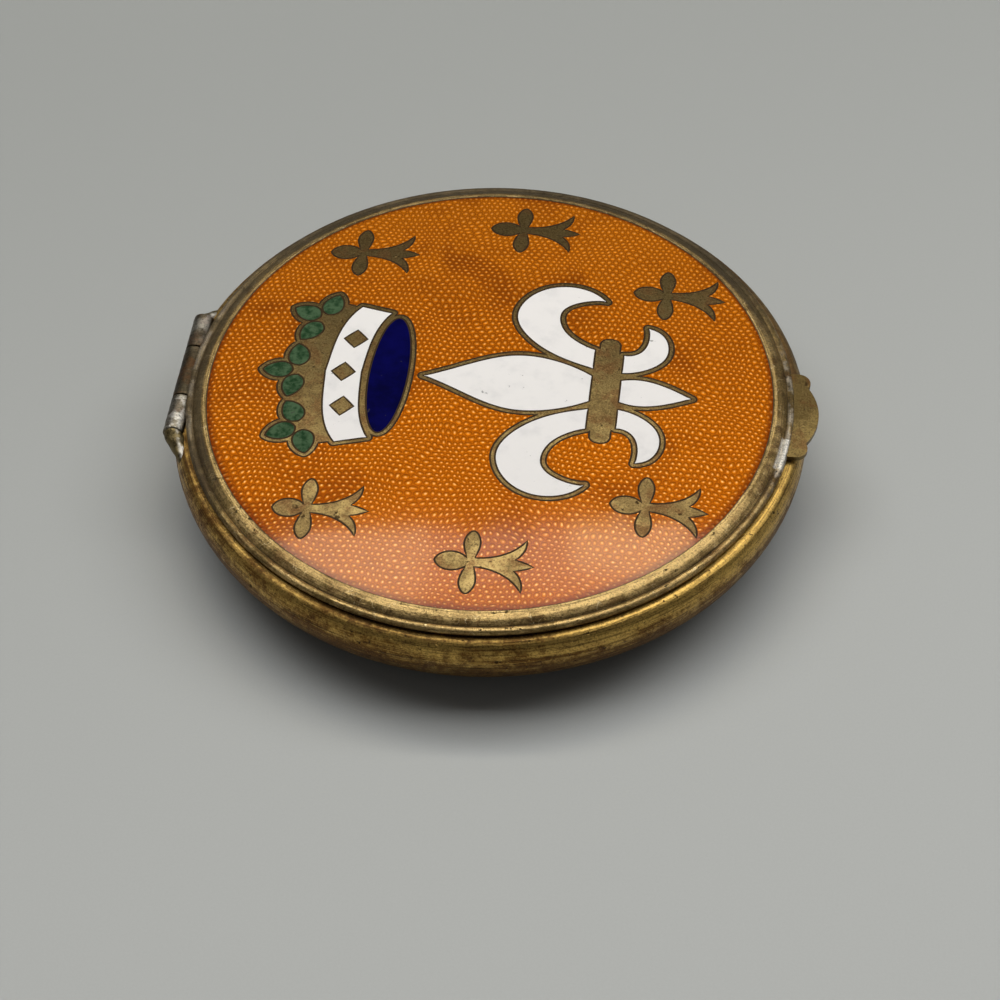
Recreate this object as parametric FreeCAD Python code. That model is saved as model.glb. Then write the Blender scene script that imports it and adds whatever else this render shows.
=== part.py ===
import FreeCAD, Part
import math
import os

V = FreeCAD.Vector

# Case, in mm. The flat foot stands on Z = 0, the hinge lies at -X and the thumb tab at +X.
LID_R = 30.0
SEAM_Z = 9.4
BULGE = 1.4
SHOULDER_DROP = 2.2
FOOT_R = 22.0
BOWL_SHEET = 0.7
LIP_STEP = 0.25
LIP_SINK = 0.1

# Lid rim: a beaded edge, a sloping band and a thin lip round the enamel
RIM_W = 2.15
RIM_RISE = 1.2
RIM_LIFT = 0.08
REST_GAP = 0.05
BEAD_R = 0.40
BEAD_FOOT_ANGLE = -50
BEAD_TOP_ANGLE = 125
BAND_W = 1.12
BAND_CROWN = 0.14
GROOVE_DIP = 0.07
LIP_W = 0.3
LIP_PROUD = 0.06
WEB_W = 1.45
WEB_T = 0.35
SEAT_STEP = 0.1

# Medallion: a domed plate with enamel poured between brass outlines
DOME = 1.2
ENAMEL_T = 0.35
PLATE_T = 0.3
SEAT_FIT = 0.02
OUTLINE_W = 0.44
DRAWING_R = 27.85
LILY_SCALE = 1.34
LILY_Q = -10.8
CROWN_SCALE = 1.12
CROWN_Q = 10.0
SPOT_SCALE = 0.98
SPOT_EDGE = 5.3
SPOT_ANGLES = (51, 95, 141)

# Mirror, held against the lid rim by a frame that plugs into the bowl's collar
GLASS_T = 1.2
CARD_T = 0.4
GLASS_FIT = 0.15
GLASS_BEVEL_W = 2.6
GLASS_BEVEL_T = 0.45
FRAME_WALL = 0.7
FRAME_LIP_W = 1.3
FRAME_LIP_T = 0.5
CATCH_GROOVE = 0.35

# Collar, powder pan and the wire ring that keeps the pan down
MOUTH_FIT = 0.35
RIM_SEAT = 0.65
COLLAR_T = 0.8
COLLAR_H = 3.6
LEDGE_W = 1.5
LEDGE_T = 0.5
PAN_T = 0.4
PAN_FIT = 0.15
PAN_FLOOR_GAP = 0.2
PAN_CORNER = 1.4
WIRE_R = 0.25
WIRE_SPLIT = 14

# Catch: a bowed leaf behind the collar, with a nib through its wall
LEAF_T = 0.3
LEAF_H = 0.9
LEAF_HALF_ANGLE = 15
LEAF_FIT = 0.05
NIB_R = 0.25
NIB_W = 2.0
NIB_BITE = 0.25
WINDOW_FIT = 0.15
HOOK_W = 0.3
HOOK_SLOT = 1.0
CUT_OVER = 0.2

# Hinge: three knuckles on one pin, let into the rims of lid and bowl
HINGE_OUT = 0.3
HINGE_SINK = 0.3
BARREL_R = 1.0
PIN_R = 0.5
PIN_FIT = 0.03
PRESS_FIT = 0.01
LID_KNUCKLE_L = 6.6
BASE_KNUCKLE_L = 4.5
KNUCKLE_GAP = 0.1
SWING_FIT = 0.14
SOLDER_L = 3.6
SOLDER_R = 0.85
SOLDER_END_R = 0.45
SOLDER_DIP = 0.6

# Thumb tab: a flat plate with one wide lobe between two small ones
TAB_REACH = 2.33
TAB_T = 0.5
TAB_HALF = 5.5
TAB_CUSP_Y = 3.68
TAB_CUSP_REACH = 1.2
TAB_LOBE_RISE = 0.16

# Radii and heights that follow from the sizes above
enamel_r = LID_R - RIM_W
enamel_z = SEAM_Z + RIM_RISE
plate_z = enamel_z - ENAMEL_T
web_z = plate_z - PLATE_T
web_under_z = web_z - WEB_T
web_r = enamel_r - WEB_W
bowl_r = LID_R + BULGE
bowl_wide_z = SEAM_Z - SHOULDER_DROP
lip_r = LID_R + LIP_STEP
lip_z = SEAM_Z - LIP_SINK
lip_under_z = lip_z - BOWL_SHEET
bead_x = LID_R - BEAD_R
bead_z = SEAM_Z + RIM_LIFT - BEAD_R * math.sin(math.radians(BEAD_FOOT_ANGLE))
drawing_scale = enamel_r / DRAWING_R
collar_out = LID_R - RIM_SEAT
collar_in = collar_out - COLLAR_T
frame_r = collar_in - MOUTH_FIT
frame_in = frame_r - FRAME_WALL
glass_r = frame_in - GLASS_FIT
glass_top_z = web_under_z - CARD_T
frame_z = glass_top_z - GLASS_T - FRAME_LIP_T
ledge_top_z = SEAM_Z - COLLAR_H + LEDGE_T
pan_flange_z = ledge_top_z + PAN_T
pan_r = collar_in - LEDGE_W - PAN_FIT
leaf_z = lip_under_z - LEAF_FIT - LEAF_H
leaf_in = collar_out + LEAF_FIT
hinge_x = -(LID_R + HINGE_OUT)
hinge_z = SEAM_Z - HINGE_SINK
knuckle_y = LID_KNUCKLE_L / 2 + KNUCKLE_GAP
barrel_y = knuckle_y + BASE_KNUCKLE_L


def line(a, b):
    """Straight edge between two (radius, height) points."""
    return Part.LineSegment(V(a[0], 0, a[1]), V(b[0], 0, b[1])).toShape()


def arc(a, b, c):
    """Circular edge through three (radius, height) points."""
    return Part.Arc(V(a[0], 0, a[1]), V(b[0], 0, b[1]), V(c[0], 0, c[1])).toShape()


def quarter_ellipse(centre, a, b):
    """Quarter of an ellipse about its centre, from one axis end to the other."""
    long_end, short_end = (a, b) if math.dist(centre, a) >= math.dist(centre, b) else (b, a)
    points = [V(p[0], 0, p[1]) for p in (long_end, short_end, centre)]
    return Part.ArcOfEllipse(Part.Ellipse(*points), 0, math.pi / 2).toShape()


def turned(edges, start=0, sweep=360):
    """Solid swept about the case axis by a closed outline of edges."""
    face = Part.Face(Part.Wire(Part.__sortEdges__(edges)))
    face.rotate(V(0, 0, 0), V(0, 0, 1), start)
    return face.revolve(V(0, 0, 0), V(0, 0, 1), sweep)


def chain(points):
    """Straight edges through a list of (radius, height) points, left open."""
    return [line(a, b) for a, b in zip(points, points[1:])]


def lathe(points, start=0, sweep=360):
    """Solid swept about the case axis by a closed outline of straight edges."""
    return turned(chain(points + points[:1]), start, sweep)


def barrel(radius, y_from, y_to):
    """Round bar on the hinge axis."""
    return Part.makeCylinder(radius, y_to - y_from, V(hinge_x, y_from, hinge_z), V(0, 1, 0))


def both_barrels(radius, y_from, y_to):
    """The same round bar on both sides of the middle of the hinge."""
    return barrel(radius, y_from, y_to).fuse(barrel(radius, -y_to, -y_from))


def dome_rise(r):
    """Height of the medallion's curve over its edge at a radius."""
    ball = (enamel_r ** 2 + DOME ** 2) / (2 * DOME)
    return math.sqrt(ball ** 2 - r ** 2) - (ball - DOME)


def dome_layer(edge_z, thickness):
    """Round layer of even thickness under the medallion's curve."""
    r = enamel_r - SEAT_FIT

    def curve(z):
        return arc((0, z + DOME), (r / 2, z + dome_rise(r / 2)), (r, z + dome_rise(r)))

    low = edge_z - thickness
    rise = dome_rise(r)
    sides = [line((0, low + DOME), (0, edge_z + DOME)), line((r, low + rise), (r, edge_z + rise))]
    return turned([curve(edge_z), curve(low)] + sides)


def make_bowl():
    """Spun bowl: flat foot, deep round side, full shoulder and a mouth with an inturned lip."""
    wide = (bowl_r, bowl_wide_z)
    inner = (bowl_r - BOWL_SHEET, bowl_wide_z)
    floor_z = BOWL_SHEET
    edges = [
        line((0, 0), (FOOT_R, 0)),
        quarter_ellipse((FOOT_R, bowl_wide_z), (FOOT_R, 0), wide),
        quarter_ellipse((lip_r, bowl_wide_z), wide, (lip_r, lip_z)),
        line((lip_r, lip_z), (collar_out, lip_z)),
        line((collar_out, lip_z), (collar_out, lip_under_z)),
        line((collar_out, lip_under_z), (lip_r, lip_under_z)),
        quarter_ellipse((lip_r, bowl_wide_z), (lip_r, lip_under_z), inner),
        quarter_ellipse((FOOT_R, bowl_wide_z), inner, (FOOT_R, floor_z)),
        line((FOOT_R, floor_z), (0, floor_z)),
        line((0, floor_z), (0, 0)),
    ]
    seats = both_barrels(BARREL_R, knuckle_y, barrel_y)
    swing = barrel(BARREL_R + SWING_FIT, -knuckle_y, knuckle_y)
    return turned(edges).cut(seats.fuse(swing))


def bowl_floor(r):
    """Height of the bowl's inner face at a radius."""
    across = max(0.0, r - FOOT_R) / (bowl_r - BOWL_SHEET - FOOT_R)
    return bowl_wide_z - (bowl_wide_z - BOWL_SHEET) * math.sqrt(1 - across ** 2)


def make_collar():
    """Ring soldered into the mouth, with a ledge for the pan and openings for the catch."""
    foot_z = SEAM_Z - COLLAR_H
    ring = lathe([
        (collar_out, foot_z), (collar_out, SEAM_Z), (collar_in, SEAM_Z), (collar_in, ledge_top_z),
        (collar_in - LEDGE_W, ledge_top_z), (collar_in - LEDGE_W, foot_z)])
    low = leaf_z - WINDOW_FIT
    tall = LEAF_H + 2 * WINDOW_FIT
    cut_x = collar_in - CUT_OVER
    reach = COLLAR_T + 2 * CUT_OVER
    window_w = NIB_W + 2 * WINDOW_FIT
    window = Part.makeBox(reach, window_w, tall, V(cut_x, -window_w / 2, low))
    slots = []
    for side in (-1, 1):
        slot = Part.makeBox(reach, HOOK_SLOT, tall, V(cut_x, -HOOK_SLOT / 2, low))
        slot.rotate(V(0, 0, 0), V(0, 0, 1), side * LEAF_HALF_ANGLE)
        slots.append(slot)
    swing = barrel(BARREL_R + SWING_FIT, -barrel_y, barrel_y)
    return ring.cut(window.multiFuse(slots + [swing]))


def make_pan():
    """Pressed pan with a round corner, hung by its flange on the collar's ledge."""
    under = bowl_floor(pan_r) + PAN_FLOOR_GAP
    inside = pan_r - PAN_T
    floor = under + PAN_T
    bend = PAN_CORNER * (1 - math.sqrt(0.5))
    tight = PAN_CORNER - PAN_T
    tight_bend = tight * (1 - math.sqrt(0.5))
    flange_r = collar_in - PAN_FIT
    edges = chain([(0, floor), (0, under), (pan_r - PAN_CORNER, under)])
    edges.append(arc((pan_r - PAN_CORNER, under), (pan_r - bend, under + bend), (pan_r, under + PAN_CORNER)))
    edges += chain([
        (pan_r, under + PAN_CORNER), (pan_r, ledge_top_z), (flange_r, ledge_top_z), (flange_r, pan_flange_z),
        (inside, pan_flange_z), (inside, floor + tight)])
    edges.append(arc((inside, floor + tight), (inside - tight_bend, floor + tight_bend), (inside - tight, floor)))
    edges.append(line((inside - tight, floor), (0, floor)))
    return turned(edges)


def make_pan_ring():
    """Split wire ring, sprung into the collar over the pan's flange."""
    r = collar_in - LEAF_FIT - WIRE_R
    circle = Part.Circle(V(r, 0, pan_flange_z + WIRE_R), V(0, 1, 0), WIRE_R).toShape()
    return turned([circle], 180 + WIRE_SPLIT / 2, 360 - WIRE_SPLIT)


def make_catch():
    """Bowed leaf with a hook at each end and a round nib in the middle that snaps into the mirror frame."""
    top = leaf_z + LEAF_H
    leaf_out = leaf_in + LEAF_T
    leaf = lathe(
        [(leaf_in, leaf_z), (leaf_out, leaf_z), (leaf_out, top), (leaf_in, top)],
        -LEAF_HALF_ANGLE, 2 * LEAF_HALF_ANGLE)
    mid_z = leaf_z + LEAF_H / 2
    nib_x = frame_r - NIB_BITE + NIB_R
    nib = Part.makeCylinder(NIB_R, NIB_W, V(nib_x, -NIB_W / 2, mid_z), V(0, 1, 0))
    stem_l = leaf_in + LEAF_T / 2 - nib_x
    stem = Part.makeBox(stem_l, NIB_W, 2 * NIB_R, V(nib_x, -NIB_W / 2, mid_z - NIB_R))
    hooks = []
    hook_x = collar_in + WINDOW_FIT
    hook_l = leaf_in + LEAF_T / 2 - hook_x
    for side in (-1, 1):
        edge_y = 0 if side < 0 else -HOOK_W
        hook = Part.makeBox(hook_l, HOOK_W, LEAF_H, V(hook_x, edge_y, leaf_z))
        hook.rotate(V(0, 0, 0), V(0, 0, 1), side * LEAF_HALF_ANGLE)
        hooks.append(hook)
    return leaf.multiFuse([nib, stem] + hooks).removeSplitter()


def make_lid_rim():
    """Turned ring: beaded edge, sloping band, lip round the enamel and a web under the plate."""
    def on_bead(degrees):
        angle = math.radians(degrees)
        return (bead_x + BEAD_R * math.cos(angle), bead_z + BEAD_R * math.sin(angle))

    under_z = SEAM_Z + REST_GAP
    step_r = collar_out + SEAT_STEP
    foot = on_bead(BEAD_FOOT_ANGLE)
    top = on_bead(BEAD_TOP_ANGLE)
    lip_top = enamel_z + LIP_PROUD
    band_top = (enamel_r + LIP_W, enamel_z)
    band_foot = (band_top[0] + BAND_W, top[1] - GROOVE_DIP)
    inner_web_z = web_z + dome_rise(web_r)
    edges = chain([
        (web_r, inner_web_z), (web_r, web_under_z), (frame_r, web_under_z), (frame_r, under_z),
        (step_r, under_z), (step_r, foot[1]), foot])
    edges.append(arc(foot, on_bead((BEAD_FOOT_ANGLE + BEAD_TOP_ANGLE) / 2), top))
    slope = math.atan2(band_top[1] - band_foot[1], band_foot[0] - band_top[0])
    crown = (
        (band_top[0] + band_foot[0]) / 2 + BAND_CROWN * math.sin(slope),
        (band_top[1] + band_foot[1]) / 2 + BAND_CROWN * math.cos(slope))
    edges += [line(top, band_foot), arc(band_foot, crown, band_top)]
    edges.append(arc(band_top, (enamel_r + LIP_W / 2, lip_top), (enamel_r, enamel_z + LIP_PROUD / 2)))
    edges += chain([(enamel_r, enamel_z + LIP_PROUD / 2), (enamel_r, web_z), (web_r, inner_web_z)])
    seat = barrel(BARREL_R, -LID_KNUCKLE_L / 2, LID_KNUCKLE_L / 2)
    swing = both_barrels(BARREL_R + SWING_FIT, LID_KNUCKLE_L / 2, barrel_y + SWING_FIT)
    return turned(edges).cut(seat.fuse(swing))


def make_mirror_frame():
    """Frame ring with a lip under the glass and a turned groove for the catch."""
    lip_in = frame_in - FRAME_LIP_W
    lip_top = frame_z + FRAME_LIP_T
    groove_mid = leaf_z + LEAF_H / 2
    half = NIB_R + WINDOW_FIT / 2
    groove_r = frame_r - CATCH_GROOVE
    return lathe([
        (lip_in, frame_z), (frame_r, frame_z), (frame_r, groove_mid - half), (groove_r, groove_mid - half),
        (groove_r, groove_mid + half), (frame_r, groove_mid + half), (frame_r, web_under_z),
        (frame_in, web_under_z), (frame_in, lip_top), (lip_in, lip_top)])


def make_glass():
    """Mirror glass, bevelled round its lower face."""
    under = glass_top_z - GLASS_T
    lip_in = frame_in - FRAME_LIP_W
    return lathe([
        (0, under), (lip_in - GLASS_BEVEL_W, under), (lip_in, under + GLASS_BEVEL_T),
        (lip_in + GLASS_FIT, under + GLASS_BEVEL_T), (lip_in + GLASS_FIT, under), (glass_r, under),
        (glass_r, glass_top_z), (0, glass_top_z)])


def make_lid_knuckle():
    """Middle knuckle of the hinge, soldered into the lid rim."""
    half = LID_KNUCKLE_L / 2
    return barrel(BARREL_R, -half, half).cut(barrel(PIN_R + PIN_FIT, -half, half))


def make_base_knuckle(side):
    """Outer knuckle of the hinge, let into the bowl's shoulder."""
    knuckle = barrel(BARREL_R, knuckle_y, barrel_y).cut(barrel(PIN_R + PRESS_FIT, knuckle_y, barrel_y))
    if side < 0:
        knuckle = knuckle.mirror(V(0, 0, 0), V(0, 1, 0))
    return knuckle.Solids[0]


def make_solder(bowl):
    """Tails of solder, drawn out along the bowl's shoulder from both ends of the barrel."""
    start_x = hinge_x + BARREL_R - SOLDER_R
    start_r = math.hypot(start_x, barrel_y)
    start_angle = math.atan2(barrel_y, -start_x)
    rings = []
    for step in range(4):
        part = step / 3
        angle = start_angle + part * SOLDER_L / start_r
        reach = start_r + (lip_r - start_r) * math.sin(part * math.pi / 2)
        middle = V(-reach * math.cos(angle), reach * math.sin(angle), hinge_z - SOLDER_DIP * part)
        ahead = V(math.sin(angle), math.cos(angle), 0) if step else V(0, 1, 0)
        radius = SOLDER_R + (SOLDER_END_R - SOLDER_R) * part
        rings.append(Part.Wire([Part.Circle(middle, ahead, radius).toShape()]))
    tail = Part.makeLoft(rings, True).cut(bowl)
    tail = max(tail.Solids, key=lambda solid: solid.Volume)
    return solids_of([tail, tail.mirror(V(0, 0, 0), V(0, 1, 0))])


def make_tab(rim):
    """Thumb tab, cut to sit on the bead of the lid rim."""
    tip = LID_R + TAB_REACH
    cusp = LID_R + TAB_CUSP_REACH
    lobe_mid = (TAB_CUSP_Y + TAB_HALF) / 2
    root = math.sqrt(bead_x ** 2 - TAB_HALF ** 2)

    def at(x, y):
        return V(x, y, bead_z - TAB_T / 2)

    edges = [Part.Arc(at(cusp, -TAB_CUSP_Y), at(tip, 0), at(cusp, TAB_CUSP_Y)).toShape()]
    for side in (-1, 1):
        end = at(LID_R, side * TAB_HALF)
        crest = at(cusp + TAB_LOBE_RISE, side * lobe_mid)
        edges.append(Part.Arc(at(cusp, side * TAB_CUSP_Y), crest, end).toShape())
        edges.append(Part.LineSegment(end, at(root, side * TAB_HALF)).toShape())
    edges.append(Part.Arc(at(root, -TAB_HALF), at(bead_x, 0), at(root, TAB_HALF)).toShape())
    face = Part.Face(Part.Wire(Part.__sortEdges__(edges)))
    return face.extrude(V(0, 0, TAB_T)).cut(rim)


def on_lid(p, q):
    """Point of the drawing on the lid: q runs up towards the hinge, p to the right of it."""
    return V(-q, p, 0) * drawing_scale


def curve(points):
    """Smooth edge through points of the drawing, or a straight one through two."""
    if len(points) == 2:
        return Part.LineSegment(on_lid(*points[0]), on_lid(*points[1])).toShape()
    spline = Part.BSplineCurve()
    spline.interpolate([on_lid(*point) for point in points])
    return spline.toShape()


def patch(curves, scale=1.0, p=0.0, q=0.0, turn=0.0):
    """Flat face inside a closed row of curves, scaled, turned and moved on the drawing."""
    c, s = math.cos(math.radians(turn)), math.sin(math.radians(turn))

    def place(point):
        a, b = point[0] * scale, point[1] * scale
        return (p + a * c + b * s, q - a * s + b * c)

    edges = [curve([place(point) for point in points]) for points in curves]
    return Part.Face(Part.Wire(Part.__sortEdges__(edges)))


def flipped(curves):
    """The same curves on the other side of the drawing's middle line."""
    return [[(-p, q) for p, q in points] for points in curves]


def mirrored(half):
    """Closed outline from the curves of its right half."""
    return half + flipped(half)


LILY_MIDDLE = mirrored([
    [(0, 13), (1.5, 9.8), (2.75, 6.4), (2.4, 3.0), (1.3, 0.6)],
    [(1.3, 0.6), (0, 0.6)]])
LILY_SIDE = [
    [(2.0, 0.6), (2.8, 3.0), (4.5, 5.5), (6.9, 6.8), (9.2, 6.0), (10.5, 3.9), (10.3, 1.6), (9.2, 0.2)],
    [(9.2, 0.2), (8.9, 2.0), (7.7, 3.4), (6.0, 3.2), (4.7, 2.0), (4.0, 0.6)],
    [(4.0, 0.6), (2.0, 0.6)]]
LILY_FOOT = mirrored([
    [(0, -6.8), (0.95, -4.8), (1.35, -2.9), (1.1, -1.5)],
    [(1.1, -1.5), (0, -1.5)]])
LILY_FOOT_SIDE = [
    [(1.8, -1.5), (2.3, -3.2), (3.9, -4.7), (5.9, -4.5), (6.8, -3.1)],
    [(6.8, -3.1), (5.5, -3.2), (4.3, -2.8), (3.7, -1.5)],
    [(3.7, -1.5), (1.8, -1.5)]]
LILY_BAND = mirrored([
    [(0, 0.3), (4.5, 0.3)],
    [(4.5, 0.3), (5.1, 0.0), (5.1, -0.9), (4.5, -1.2)],
    [(4.5, -1.2), (0, -1.2)]])
ERMINE_SPOT = mirrored([
    [(0, 4.5), (0.9, 3.7), (1.05, 2.7), (0.45, 1.45)],
    [(0.45, 1.45), (1.5, 1.8), (2.7, 1.85), (3.6, 1.15), (2.7, 0.45), (1.5, 0.45), (0.5, 0.7)],
    [(0.5, 0.7), (0.75, -1.0), (1.5, -2.6), (3.0, -4.0)],
    [(3.0, -4.0), (1.6, -3.8), (0.65, -3.1)],
    [(0.65, -3.1), (0.35, -4.1), (0, -4.9)]])
CROWN_LINING_HALF = (7.0, 1.75)
CROWN_BAND = mirrored([
    [(0, 2.4), (3.6, 2.1), (6.6, 1.3), (7.6, 0.75)],
    [(7.6, 0.75), (8.3, 3.6)],
    [(8.3, 3.6), (7.1, 4.4), (3.8, 5.35), (0, 5.7)]])
CROWN_RAIL = mirrored([
    [(0, 5.4), (8.1, 3.4)],
    [(8.1, 3.4), (8.5, 4.9)],
    [(8.5, 4.9), (7.2, 5.6), (3.9, 6.6), (0, 7.0)]])
CROWN_GEM = mirrored([
    [(0, 5.1), (1.1, 4.05)],
    [(1.1, 4.05), (0, 3.0)]])
CROWN_GEM_PLACES = ((0, 0), (4.1, -0.5), (-4.1, -0.5))
CROWN_LEAF = mirrored([
    [(0, 3.3), (0.85, 2.3), (0.95, 1.45), (0, 0.55)]])
CROWN_STEM = mirrored([
    [(0, 1.2), (0.45, 0.4), (1.3, -1.8)],
    [(1.3, -1.8), (0, -1.8)]])
CROWN_LEAF_PLACES = ((0, 8.0, 0), (6.5, 6.7, 24), (-6.5, 6.7, -24))
CROWN_PEARL_PLACES = ((3.4, 7.3), (-3.4, 7.3))
CROWN_PEARL_R = 0.8


def on_crown(curves, p=0.0, q=0.0, turn=0.0, scale=1.0):
    """Flat face of a piece of the crown, placed by the crown's own scale."""
    return patch(curves, scale * CROWN_SCALE, p * CROWN_SCALE, CROWN_Q + q * CROWN_SCALE, turn)


def crown_lining():
    """Oval face of the lining seen through the crown's foot."""
    wide, tall = (half * CROWN_SCALE for half in CROWN_LINING_HALF)
    oval = Part.Ellipse(on_lid(wide, CROWN_Q), on_lid(0, CROWN_Q + tall), on_lid(0, CROWN_Q))
    return Part.Face(Part.Wire([oval.toShape()]))


def crown_brass():
    """Faces of the crown that carry no enamel: rail, stems and pearls."""
    faces = [on_crown(CROWN_RAIL)]
    faces += [on_crown(CROWN_STEM, p, q, lean) for p, q, lean in CROWN_LEAF_PLACES]
    for p, q in CROWN_PEARL_PLACES:
        faces.append(on_crown(CROWN_STEM, p, q - CROWN_PEARL_R, 0, CROWN_PEARL_R))
        middle = on_lid(p * CROWN_SCALE, CROWN_Q + q * CROWN_SCALE)
        pearl = Part.Circle(middle, V(0, 0, 1), CROWN_PEARL_R * CROWN_SCALE * drawing_scale)
        faces.append(Part.Face(Part.Wire([pearl.toShape()])))
    return faces


def spot_places():
    """Places of the spots round the lid, in pairs about the drawing's middle line."""
    reach = DRAWING_R - SPOT_EDGE
    for degrees in SPOT_ANGLES:
        angle = math.radians(degrees)
        for side in (1, -1):
            yield side * reach * math.sin(angle), reach * math.cos(angle)


def outline(cell):
    """Face of a cell widened by the brass line round it, its edges redrawn as smooth curves."""
    edges = []
    for edge in cell.makeOffset2D(OUTLINE_W).OuterWire.Edges:
        spline = Part.BSplineCurve()
        spline.interpolate(edge.discretize(Number=14))
        edges.append(spline.toShape())
    return Part.Face(Part.Wire(Part.__sortEdges__(edges)))


def standing(faces):
    """Upright bodies over flat faces, taller than the medallion."""
    return [face.extrude(V(0, 0, enamel_z + DOME + CUT_OVER)) for face in faces]


def silhouettes(faces):
    """Flat faces joined where they meet, with the small gaps between them closed."""
    bodies = standing(faces)
    joined = bodies[0].multiFuse(bodies[1:]).removeSplitter()
    feet = [min(solid.Faces, key=lambda face: face.CenterOfMass.z) for solid in joined.Solids]
    return [Part.Face(foot.OuterWire) for foot in feet]


def solids_of(shapes):
    """All solids of a list of shapes as one group."""
    return Part.makeCompound([solid for shape in shapes for solid in shape.Solids])


def make_medallion():
    """Domed plate, brass outlines on it and the enamel of each colour between them."""
    lily = [patch(shape, LILY_SCALE, 0, LILY_Q) for shape in (
        LILY_MIDDLE, LILY_SIDE, flipped(LILY_SIDE), LILY_FOOT, LILY_FOOT_SIDE, flipped(LILY_FOOT_SIDE))]
    lining = crown_lining()
    band = on_crown(CROWN_BAND)
    leaves = [on_crown(CROWN_LEAF, p, q, lean + turn) for p, q, lean in CROWN_LEAF_PLACES for turn in (-80, 0, 80)]
    gems = standing([on_crown(CROWN_GEM, p, q) for p, q in CROWN_GEM_PLACES])
    spots = standing([patch(ERMINE_SPOT, SPOT_SCALE, p, q) for p, q in spot_places()])

    waist = patch(LILY_BAND, LILY_SCALE, 0, LILY_Q)
    lily_ground = standing(silhouettes([outline(cell) for cell in lily] + [waist]))
    crown_ground = standing(silhouettes([outline(cell) for cell in [lining, band] + leaves] + crown_brass()))
    lily_cells = standing(lily)
    crown_cells = standing([lining, band] + leaves)

    enamel = dome_layer(enamel_z, ENAMEL_T)
    brass = [enamel.common(body).cut(lily_cells) for body in lily_ground]
    brass += [enamel.common(body).cut(crown_cells) for body in crown_ground]
    brass += [enamel.common(body) for body in gems + spots]
    white = [enamel.common(body) for body in lily_cells]
    white.append(enamel.common(crown_cells[1]).cut(gems))
    return {
        "medallion_plate": dome_layer(plate_z, PLATE_T),
        "motif_brass": solids_of(brass),
        "orange_enamel": solids_of([enamel.cut(lily_ground).cut(crown_ground).cut(spots)]),
        "white_enamel": solids_of(white),
        "blue_enamel": enamel.common(crown_cells[0]),
        "green_enamel": solids_of([enamel.common(body) for body in crown_cells[2:]]),
    }


bowl = make_bowl()
rim = make_lid_rim()
pieces = {
    "base_bowl": bowl,
    "base_collar": make_collar(),
    "base_knuckle_left": make_base_knuckle(-1),
    "base_knuckle_right": make_base_knuckle(1),
    "hinge_solder": make_solder(bowl),
    "hinge_pin": barrel(PIN_R, -barrel_y, barrel_y),
    "powder_pan": make_pan(),
    "pan_ring": make_pan_ring(),
    "catch_spring": make_catch(),
    "lid_rim": rim,
    "lid_knuckle": make_lid_knuckle(),
    "thumb_tab": make_tab(rim),
    "mirror_card": Part.makeCylinder(glass_r, CARD_T, V(0, 0, glass_top_z)),
    "mirror_glass": make_glass(),
    "mirror_frame": make_mirror_frame(),
}
pieces.update(make_medallion())

os.makedirs("parts", exist_ok=True)
for name, shape in pieces.items():
    shape.exportStep("parts/" + name + ".step")
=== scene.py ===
import math

import bpy
import numpy as np
from mathutils import Matrix, Vector


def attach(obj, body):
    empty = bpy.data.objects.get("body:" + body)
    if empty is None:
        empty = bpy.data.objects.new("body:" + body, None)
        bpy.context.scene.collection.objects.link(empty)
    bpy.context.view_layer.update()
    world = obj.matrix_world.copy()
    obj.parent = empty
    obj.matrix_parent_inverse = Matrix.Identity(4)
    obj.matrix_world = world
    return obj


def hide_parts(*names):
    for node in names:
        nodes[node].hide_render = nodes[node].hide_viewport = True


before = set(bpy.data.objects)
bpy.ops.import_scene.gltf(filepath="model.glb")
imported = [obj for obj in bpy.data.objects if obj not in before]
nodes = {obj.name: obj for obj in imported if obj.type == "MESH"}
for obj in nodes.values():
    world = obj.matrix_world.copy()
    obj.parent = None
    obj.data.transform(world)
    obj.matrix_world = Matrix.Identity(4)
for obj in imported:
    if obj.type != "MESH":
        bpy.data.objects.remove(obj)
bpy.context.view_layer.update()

# The bowl of the case: brass sheet spun to a deep round dish with a flat foot and an inturned lip.
# Its gilding has worn off, so it is olive brass with polish marks round it, brown tarnish and small pits.
# It is darker in clouds towards the foot and behind the tab, with painted shade under the lid's edge; its
# upper shoulder beside the tab is brighter, partly polish and partly a painted highlight.

MM = 0.001
BRASS_DARK = (0.050, 0.029, 0.011)
BRASS_BROWN = (0.13, 0.055, 0.020)
BRASS_SCRATCH = (0.80, 0.64, 0.36)
TIN_AND_GLINT_GREY = (0.74, 0.71, 0.64)


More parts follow.
